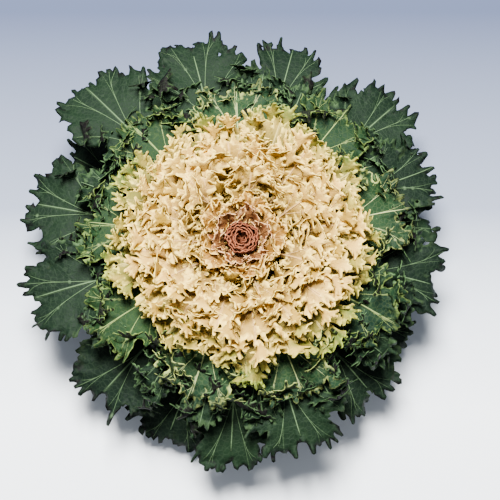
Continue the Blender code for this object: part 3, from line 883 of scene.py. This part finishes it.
def leaf_material(name, ramp, patches, vein, rim, under, gloss, low_shade=None, outer=None):
    """A leaf's skin, coloured from the foot of the blade out to its margin.

    Patches and veins each have a colour and its greatest share, and so has the underside,
    whose colour is painted shade. The rim has a colour near the stem and one far from it, the distances in mm
    between which it changes, and how far in from the margin it reaches; its pale colours are a painted
    highlight on the leaf's own paler margin, and its purple black is the dried margin. The low shade is
    painted shade on what lies low among the leaves, and the outer colour comes in between two distances.
    """
    made, tree, shader = new_material(name)
    place = add_node(tree, "TexCoord").outputs["Object"]
    paint = {n: add_node(tree, "Attribute", attribute_name=n).outputs["Fac"] for n in Shell.NAMES}
    off_axis = add_node(tree, "Mapping", {0: place, "Scale": (1, 1, 0)}).outputs[0]
    from_stem = add_node(tree, "VectorMath", {0: off_axis}, operation="LENGTH").outputs["Value"]

    # On the cream and inner leaves the ramp's dark foot is their own colour darkened with painted shade.
    base = add_node(tree, "ValToRGB", {0: paint["out"]}, stops=ramp).outputs[0]
    wide = add_node(tree, "TexNoise", {0: place, "Scale": 1 / (PATCH_SIZE * MM), "Detail": 3}).outputs[0]
    patch = add_node(tree, "MapRange", {0: wide, 1: 0.35, 2: 0.65, 3: -0.5, 4: 0.5}).outputs[0]
    mood = add_node(tree, "Math", {0: paint["tone"], 1: patch}, operation="ADD").outputs[0]
    colour, most = patches
    share = add_node(tree, "MapRange", {0: mood, 1: -1.0, 2: 1.5, 3: 0.0, 4: most}).outputs[0]
    skin = add_node(tree, "Mix", {0: share, 6: base, 7: colour}, data_type="RGBA").outputs[2]
    if outer:
        colour, start, end = outer
        slow = add_node(tree, "TexNoise", {0: place, "Scale": 1 / (OUTER_PATCH * MM), "Detail": 2}).outputs[0]
        sway = OUTER_STRAYS * MM
        stray = add_node(tree, "MapRange", {0: slow, 1: 0.35, 2: 0.65, 3: -sway, 4: sway}).outputs[0]
        border = add_node(tree, "Math", {0: from_stem, 1: stray}, operation="ADD").outputs[0]
        share = add_node(tree, "MapRange", {0: border, 1: start * MM, 2: end * MM, 3: 0.0, 4: 0.9}).outputs[0]
        skin = add_node(tree, "Mix", {0: share, 6: skin, 7: colour}, data_type="RGBA").outputs[2]
    # Painted shade: what lies low among the leaves, below the dome, darkens towards the low shade colour.
    if low_shade:
        height = add_node(tree, "SeparateXYZ", {0: place}).outputs["Z"]
        square = add_node(tree, "Math", {0: from_stem, 1: from_stem}, operation="MULTIPLY").outputs[0]
        fall = add_node(tree, "Math", {0: square, 1: DOME_FALL}, operation="MULTIPLY").outputs[0]
        level = add_node(tree, "Math", {0: height, 1: fall}, operation="ADD").outputs[0]
        below = add_node(tree, "Math", {0: DOME_TOP * MM, 1: level}, operation="SUBTRACT").outputs[0]
        start, end = LOW_SHADE_SPAN
        share = add_node(tree, "MapRange", {0: below, 1: start * MM, 2: end * MM, 3: 0.0, 4: 0.8}).outputs[0]
        skin = add_node(tree, "Mix", {0: share, 6: skin, 7: low_shade}, data_type="RGBA").outputs[2]
    # Painted shade: the lower face darkens towards the underside colour.
    colour, most = under
    share = add_node(tree, "Math", {0: paint["under"], 1: most}, operation="MULTIPLY").outputs[0]
    skin = add_node(tree, "Mix", {0: share, 6: skin, 7: colour}, data_type="RGBA").outputs[2]

    net = add_node(tree, "TexVoronoi", {0: place, "Scale": 1 / (NET_SIZE * MM)}, feature="DISTANCE_TO_EDGE")
    inside = net.outputs["Distance"]
    line = add_node(tree, "MapRange", {0: inside, 1: 0.0, 2: NET_LINE, 3: 1.0, 4: 0.0}).outputs[0]
    faint = add_node(tree, "Math", {0: line, 1: NET_FAINT}, operation="MULTIPLY").outputs[0]
    colour, most = vein
    netted = add_node(tree, "Mix", {0: faint, 6: skin, 7: colour}, data_type="RGBA").outputs[2]
    share = add_node(tree, "MapRange", {0: paint["vein"], 1: 0.2, 2: 1.0, 3: 0.0, 4: most}).outputs[0]
    veined = add_node(tree, "Mix", {0: share, 6: netted, 7: colour}, data_type="RGBA").outputs[2]

    # The rim: near the stem its pale colour is a painted highlight on the leaf's own paler margin; far out on
    # the green leaves it is the dried purple black of their margins.
    near, far, start, end, most = rim
    share = add_node(tree, "MapRange", {0: from_stem, 1: start * MM, 2: end * MM, 3: 0.0, 4: 1.0}).outputs[0]
    rim_highlight_and_dried = add_node(tree, "Mix", {0: share, 6: near, 7: far}, data_type="RGBA").outputs[2]
    ragged = add_node(tree, "TexNoise", {0: place, "Scale": 1 / (RIM_PATCH * MM), "Detail": 2}).outputs[0]
    reach = add_node(tree, "MapRange", {0: ragged, 1: 0.4, 2: 0.65, 3: 0.02, 4: most}).outputs[0]
    rim_paint_share = add_node(tree, "MapRange", {0: paint["edge"], 1: 0.0, 2: reach, 3: 1.0, 4: 0.0}).outputs[0]
    rimmed = add_node(tree, "Mix", {0: rim_paint_share, 6: veined, 7: rim_highlight_and_dried}, data_type="RGBA").outputs[2]

    # The margin thins out, the blade is puckered, and the finest veins are sunk in it.
    pucker = add_node(tree, "TexNoise", {0: place, "Scale": 1 / (PUCKER_SIZE * MM), "Detail": 2}).outputs[0]
    bump = add_node(tree, "Bump", {"Height": paint["edge"], "Strength": 0.8, "Distance": 1.1 * MM})
    for height, depth, sunk in ((pucker, 1.6, False), (line, 0.25, True)):
        inputs = {"Height": height, "Normal": bump.outputs[0], "Strength": 0.5, "Distance": depth * MM}
        bump = add_node(tree, "Bump", inputs, invert=sunk)
    tree.links.new(rimmed, shader.inputs["Base Color"])
    tree.links.new(bump.outputs[0], shader.inputs["Normal"])
    shader.inputs["Roughness"].default_value = 0.6
    shader.inputs["Specular IOR Level"].default_value = gloss
    return made


# A grown kale leaf: dark blue-green skin under a bloom of wax, so it is matt, with hardly a highlight. Its
# far rims are dried to purple black, its nearer rims carry a pale green painted highlight, its veins are pale
# green, and its underside is darkened with painted shade.
green_skin = leaf_material(
    "satin kale leaf",
    ramp=((0, "#18271A"), (0.5, "#0E1A12"), (1, "#0A150F")),
    patches=("#162817", 0.6),
    vein=("#647E5A", 0.6),
    rim=("#4A6640", "#080508", 105, 140, 0.9),
    under=("#0E080C", 0.85),
    gloss=0.06,
)
GREEN_FRILL = Frill(length=16, fingers=5, spread=54, radius=1.0, unrest=2.8, pitch=1.8)


def frill_set(frill, curls, count, seed):
    """Frills that differ in their fingers and in how far they curl."""
    rng = np.random.default_rng(seed)
    return tuple(make_frill(replace(frill, curl=rng.uniform(*curls)), rng) for _ in range(count))


GREEN_REACH = 0.98  # of the reach in the table, since fingers stand past the midrib's end
GREEN_VEIN = 0.05  # how far a vein's paint reaches beside it
green_frills = frill_set(GREEN_FRILL, (50, 160), 10, 7)
for number, (tier, azimuth, reach, width) in enumerate(GREEN_LEAVES, 1):
    kind = replace(TIERS[tier], width=width)
    foot = stem_side(kind.base_height)
    kind = replace(kind, length=length_for(kind, foot, reach * GREEN_REACH))
    rng = np.random.default_rng(GREEN_SEED + number)
    shell = make_leaf(kind, azimuth, foot, rng, green_frills, GREEN_VEIN)
    finish_piece(shell.piece(f"green_fan_{number:02d}"), green_skin, f"green_leaf_{number:02d}")


# The curled leaves: narrow young green leaves between the fans, with the same waxy skin. They are so tightly
# curled that they show as dark tangles of frill. Each is made as a fan is, with more and deeper ruffles.
CURLED = replace(
    TOP, base_height=30, base_slope=30, rise_slope=46, tip_slope=-30, width=34, wave=3.5, bay=7,
    finger_gap=4.2, finger_long=7, finger_radius=1.1, crisp=3.5, crisp_length=9, tufts=11, bare_tip=0.1,
    pitch=2.0,
)  # fmt: skip
CURLED_REACH = (118, 134)  # mm
CURLED_SEED = 300
CURLED_AT = (17, 34, 54, 69, 83, 97, 113, 128, 142, 158, 180, 210, 238, 257, 277, 300, 322, 340)
for number, azimuth in enumerate(CURLED_AT, 1):
    rng = np.random.default_rng(CURLED_SEED + number)
    foot = stem_side(CURLED.base_height)
    kind = replace(CURLED, length=length_for(CURLED, foot, rng.uniform(*CURLED_REACH)))
    shell = make_leaf(kind, azimuth, foot, rng, green_frills, GREEN_VEIN)
    finish_piece(shell.piece(f"curled_leaf_{number:02d}"), green_skin)


# The inner leaves: whorls of deeply cut, ruffled leaves that lie over each other, first green with cream
# veins, then cream without any green. They grow from the stem above the fans, and are made as those are,
# with narrower fingers. More cream leaves, which have no solid, fill the gaps between the whorls.
FRILLED = Kind(
    base_height=35, base_slope=32, rise_slope=51, tip_slope=-26, share=0.60, width=66, stalk_width=5.8,
    cup=160, fold=0.05, tilt=0.08, waves=5, wave=3.0, lobes=7, bay=11, finger_gap=5.0, finger_long=8,
    finger_radius=1.2, web=0.38, curl=4.0, crisp=3.0, crisp_length=10, leaflets=2, leaflet_length=20,
    tufts=13, tuft_rise=(20, 80), bare_tip=0.15, stalk_tufts=4, pitch=1.9,
)  # fmt: skip
CREAM_OUTER = replace(
    FRILLED, base_height=43, base_slope=34, rise_slope=61, tip_slope=-17, width=54, stalk_width=5.2,
    cup=100, fold=0.06, tilt=0.14, wave=2.4, bay=10, finger_gap=4.2, finger_long=12, finger_radius=1.0,
    web=0.26, curl=3.5, crisp=1.6, leaflet_length=17, tufts=8, tuft_rise=(5, 45), bare_tip=0.0,
    stalk_tufts=2, pitch=1.55,
)  # fmt: skip
CREAM_MIDDLE = replace(
    CREAM_OUTER, base_height=51, base_slope=36, rise_slope=70, tip_slope=-7, width=46, stalk_width=4.7,
    cup=70, wave=2.2, leaflets=1, leaflet_length=15,
)  # fmt: skip
CREAM_INNER = replace(
    CREAM_MIDDLE, base_height=59, base_slope=38, rise_slope=76, tip_slope=8, share=0.62, width=39,
    stalk_width=4.1, cup=50, wave=1.8, finger_long=11, finger_radius=1.05, crisp=1.0, tufts=5, pitch=1.5,
)  # fmt: skip
BETWEEN_OUTER = replace(CREAM_OUTER, base_height=47, rise_slope=66, tip_slope=-12, width=46)
BETWEEN_MIDDLE = replace(CREAM_MIDDLE, base_height=55, rise_slope=73, tip_slope=0, width=40)

# A young kale leaf, waxy and matt as the grown ones, that has less green towards its stalk: it pales to
# yellow green there, and its veins stand out in cream. Its nearer rims carry a pale green painted highlight,
# and its underside is darkened with painted shade.
frilled_skin = leaf_material(
    "variegated kale leaf",
    ramp=((0, "#4A5E2C"), (0.3, "#1C331C"), (0.7, "#102218"), (1, "#0C1B14")),
    patches=("#203818", 0.6),
    vein=("#93A562", 0.7),
    rim=("#6A8040", "#080508", 105, 130, 0.6),
    under=("#0E080C", 0.8),
    gloss=0.06,
)
# The same leaf where half of it lacks its green: the eye sees a cream-green splash that ends in dark green.
# Its nearer rims carry a pale painted highlight, and its underside is darkened with painted shade.
splashed_skin = leaf_material(
    "cream-splashed kale leaf",
    ramp=((0, "#7C8848"), (0.3, "#44602C"), (0.55, "#1A321C"), (1, "#0F2018")),
    patches=("#1C3418", 0.8),
    vein=("#A8B478", 0.8),
    rim=("#A0AC60", "#101C10", 100, 122, 0.8),
    under=("#1A2414", 0.7),
    gloss=0.07,
    outer=("#12241A", 98, 124),
)
# A cream kale leaf that keeps a little green: cream towards the heart, yellow green at the rosette's edge,
# where the light reaches it. Its bright rims near the heart are a painted highlight on its own pale margin;
# its underside and what lies low among the leaves are darkened with painted shade, and so is its own darker
# foot.
edge_skin = leaf_material(
    "outer cream kale leaf",
    ramp=((0, "#4A4A10"), (0.4, "#8A7830"), (0.8, "#C8A850"), (1, "#DCC054")),
    patches=("#7E8020", 0.8),
    vein=("#DCC878", 0.6),
    rim=("#FFDC70", "#94A440", 78, 97, 0.9),
    under=("#5A5010", 0.7),
    gloss=0.1,
    low_shade="#2C2E08",
    outer=("#3A5620", 80, 99),
)
# A cream kale leaf without any green: soft and matt, pale at its fingers, whose bright rims are a painted
# highlight on its own pale margin. The brown deep in its folds, towards its foot and on its underside is
# painted shade over its own darker cream, where light that has gone through many leaves is all that reaches
# it.
cream_skin = leaf_material(
    "cream kale leaf",
    ramp=((0, "#4A340A"), (0.35, "#947038"), (0.7, "#D0A854"), (1, "#F0CA68")),
    patches=("#94741A", 1.0),
    vein=("#E2BA7C", 0.6),
    rim=("#FFDC70", "#FFDC70", 80, 98, 1.0),
    under=("#6C5414", 0.7),
    gloss=0.1,
    low_shade="#382A08",
)
CREAM_FRILL = Frill(length=17, fingers=5, spread=40, radius=1.0, unrest=2.4, pitch=1.5)
cream_frills = frill_set(CREAM_FRILL, (15, 80), 12, 8)


@dataclass(frozen=True)
class Whorl:
    """Like leaves set evenly round the stem. Those that stand for solids have the solids' places."""

    name: str
    node: str
    count: int
    first: float  # azimuth in degrees
    reach: float
    kind: Kind
    skin: object
    slot: str = "cream"
    vein_reach: float = 0.5
    frills: tuple = cream_frills


WHORLS = (
    Whorl("frilled_fan", "frilled_leaf", 9, 12, 126, FRILLED, frilled_skin, "variegated", 0.2, green_frills),
    Whorl("cream_fan_outer", "cream_outer_leaf", 9, 32, 99, CREAM_OUTER, edge_skin),
    Whorl("cream_fan_middle", "cream_middle_leaf", 8, 8, 84, CREAM_MIDDLE, cream_skin),
    Whorl("cream_fan_inner", "cream_inner_leaf", 7, 30, 62, CREAM_INNER, cream_skin),
    Whorl("cream_between_outer", "", 9, 12, 90, BETWEEN_OUTER, edge_skin),
    Whorl("cream_between_middle", "", 8, 30, 74, BETWEEN_MIDDLE, cream_skin),
)
WHORL_REACH = (0.93, 0.99)  # of its reach, drawn for each leaf
WHORL_SEED = 500
SEEDS_APART = 50
SPLASHED = (1, 3, 7, 8)
for order, whorl in enumerate(WHORLS):
    foot = stem_side(whorl.kind.base_height)
    for number in range(whorl.count):
        rng = np.random.default_rng(WHORL_SEED + SEEDS_APART * order + number)
        azimuth = whorl.first + 360 * number / whorl.count
        reach = whorl.reach * rng.uniform(*WHORL_REACH)
        kind = replace(whorl.kind, length=length_for(whorl.kind, foot, reach))
        shell = make_leaf(kind, azimuth, foot, rng, whorl.frills, whorl.vein_reach)
        piece = shell.piece(f"{whorl.name}_{number + 1:02d}")
        skin = splashed_skin if whorl.name == "frilled_fan" and number + 1 in SPLASHED else whorl.skin
        finish_piece(piece, skin, whorl.node and f"{whorl.node}_{number + 1:02d}")


# The heart: the youngest leaves, still rolled round each other in a tight pink-brown bud on top of the stem.
# They grow from one core, at the golden angle, each a little smaller and higher than the last, and are one
# piece. Each is made as a fan is, small and thick, and cupped so closely that it stands nearly upright.
OPEN = replace(
    CREAM_INNER, base_slope=34, rise_slope=70, tip_slope=20, share=0.70, width=27, stalk_width=3.4, cup=30,
    fold=0.05, tilt=0.16, waves=4, wave=1.4, lobes=6, bay=4, finger_gap=3.0, finger_long=5.5,
    finger_radius=0.85, curl=2.0, crisp_length=7, leaflets=0, stalk_tufts=0, pitch=1.1,
)  # fmt: skip
CLOSED = replace(
    OPEN, base_slope=44, rise_slope=55, tip_slope=104, stalk_width=2.6, fold=0.0, tilt=0.0, waves=3, wave=0.6,
    lobes=5, bay=0.8, finger_gap=2.2, finger_long=1.2, finger_radius=0.6, curl=0.8, crisp_length=4.5, tufts=0,
    pitch=0.85, thick=0.8,
)  # fmt: skip
CLOSED_LEAVES = 19
# mm, of the first leaf and the last: its length, its foot's height, and its foot's distance from the axis
CLOSED_SPANS = ((22, 8), (79, 90), (5, 1.5))
HEART_SEED = 900
HEART_VEIN = 1.5

# A kale leaf that hasn't opened: firm skin, pink brown where no light has greened it, and a little glossier
# than the rest. Its rolled rims carry a paler painted highlight, and each leaf's foot and underside are
# darkened with painted shade, so that the bud shows as rings with dark gaps.
heart_skin = leaf_material(
    "kale heart leaf",
    ramp=((0, "#1A0706"), (0.5, "#2A0E08"), (0.85, "#431D10"), (1, "#552A1A")),
    patches=("#421810", 0.6),
    vein=("#6A381C", 0.4),
    rim=("#8A5036", "#8A5036", 80, 98, 0.5),
    under=("#2E1008", 0.5),
    gloss=0.14,
)
OPEN_FRILL = replace(CREAM_FRILL, length=7.5, fingers=4, radius=0.75, unrest=1.2, pitch=0.95)
open_frills = frill_set(OPEN_FRILL, (20, 90), 8, 9)
shell = Shell()
rng = np.random.default_rng(HEART_SEED)
for number in range(CLOSED_LEAVES):
    share = number / (CLOSED_LEAVES - 1)
    long, height, foot = (first + (last - first) * share for first, last in CLOSED_SPANS)
    kind = replace(CLOSED, base_height=height, length=long, width=long * 0.95, cup=long * 0.52)
    make_leaf(kind, GOLDEN_ANGLE * number, foot, rng, open_frills, HEART_VEIN, shell)
finish_piece(shell.piece("heart_rosette"), heart_skin, "heart")


# The opening leaves: two rings of five tan leaves that stand up round the heart and begin to lean outwards.
# They are soft, thin leaf on the same core as the heart, made as the cream leaves are, with shorter fingers.
OPENING_RINGS = ((43, 72.0), (37, 73.0))  # (length, foot's height) in mm
IN_RING = 5
CORE = 5  # mm from the axis to a leaf's foot

# A kale leaf that has just opened: tan gold skin whose rims carry a pale painted highlight, browned in its
# folds, towards its foot and on its underside with painted shade.
open_skin = leaf_material(
    "opening kale leaf",
    ramp=((0, "#54320A"), (0.35, "#8A5C18"), (0.7, "#BC882A"), (1, "#D8A83E")),
    patches=("#966824", 0.8),
    vein=("#D0A05A", 0.5),
    rim=("#F2CA6C", "#F2CA6C", 80, 98, 0.8),
    under=("#7A4E14", 0.6),
    gloss=0.12,
    low_shade="#4A2C08",
)
for number in range(IN_RING * len(OPENING_RINGS)):
    ring = number // IN_RING
    length, height = OPENING_RINGS[ring]
    kind = replace(OPEN, length=length, base_height=height)
    azimuth = 360 / IN_RING * (number + ring / 2)
    shell = make_leaf(kind, azimuth, CORE, rng, open_frills, 0.8)
    finish_piece(shell.piece(f"opening_leaf_{number + 1:02d}"), open_skin)


# The collar leaves: six small upright leaves, pressed round the heart between it and the opening ones. They
# grow from the same core, and are made as those are, narrower and closely cupped.
COLLAR = replace(
    OPEN, base_height=75, base_slope=44, rise_slope=68, tip_slope=48, length=33, width=20, cup=14, tilt=0.0,
    crisp=1.3, tufts=4, tuft_rise=(-10, 40),
)  # fmt: skip
COLLAR_LEAVES = 6
COLLAR_FIRST = 14  # azimuth in degrees

# A kale leaf about to open: soft skin between the heart's pink brown and the opening leaves' tan. Its rims
# carry a pale painted highlight, and its foot, underside and what lies low are darkened with painted shade.
collar_skin = leaf_material(
    "inner kale leaf",
    ramp=((0, "#3A1C0C"), (0.5, "#663C1A"), (0.85, "#A46A38"), (1, "#C08C54")),
    patches=("#7E4A22", 0.6),
    vein=("#B07C48", 0.4),
    rim=("#ECB880", "#ECB880", 80, 98, 0.6),
    under=("#583010", 0.5),
    gloss=0.12,
    low_shade="#3A1C0C",
)
for number in range(COLLAR_LEAVES):
    azimuth = 360 / COLLAR_LEAVES * number + COLLAR_FIRST
    shell = make_leaf(COLLAR, azimuth, CORE, rng, open_frills, HEART_VEIN)
    finish_piece(shell.piece(f"collar_leaf_{number + 1}"), collar_skin)


# The setting: a large sheet of pale card under the head, with painted shade that greys it towards the back. A
# soft square light stands above its far side, and an even light comes from all round.
CARD_SIZE = 6  # metres
CARD_SPAN = (-0.11, 0.19)  # metres along Y, from where the card is palest to where it is greyest
KEY_PLACE = Vector((-0.12, 0.6, 1.68))
KEY_AIM = Vector((0, 0, 0.05))
KEY_SIZE = 0.6  # metres
KEY_POWER = 186  # watts
ROOM_LIGHT = 0.40

bpy.ops.object.select_all(action="DESELECT")
bpy.ops.mesh.primitive_plane_add(size=CARD_SIZE, location=(0, 0, 0))
floor = bpy.context.object
floor.name = "sheet_of_card"


def card_material():
    """Smooth matt card with painted shade that greys it from white at the front to blue grey at the back; no
    grain.
    """
    made, tree, shader = new_material("pale card")
    place = add_node(tree, "TexCoord").outputs["Object"]
    depth = add_node(tree, "SeparateXYZ", {0: place}).outputs["Y"]
    near, far = CARD_SPAN
    share = add_node(tree, "MapRange", {0: depth, 1: near, 2: far, 3: 0.0, 4: 1.0}).outputs[0]
    # Painted shade: the card darkens from white at the front to blue grey at the back.
    stops = ((0, "#EEF4FC"), (0.25, "#CCD4E0"), (0.5, "#838CA0"), (1, "#48516A"))
    shade = add_node(tree, "ValToRGB", {0: share}, stops=stops).outputs[0]
    tree.links.new(shade, shader.inputs["Base Color"])
    shader.inputs["Specular IOR Level"].default_value = 0.1
    shader.inputs["Roughness"].default_value = 0.9
    return made


floor.data.materials.append(card_material())

key = bpy.data.objects.new("key", bpy.data.lights.new("key", "AREA"))
bpy.context.scene.collection.objects.link(key)
key.data.size = KEY_SIZE
key.data.energy = KEY_POWER
key.data.color = linear("#FFFDF8")[:3]
key.location = KEY_PLACE
key.rotation_euler = (KEY_AIM - KEY_PLACE).to_track_quat("-Z", "Y").to_euler()
world = bpy.data.worlds.new("soft room")
world.use_nodes = True
world.node_tree.nodes["Background"].inputs["Color"].default_value = linear("#E9EEF6")
world.node_tree.nodes["Background"].inputs["Strength"].default_value = ROOM_LIGHT
bpy.context.scene.world = world
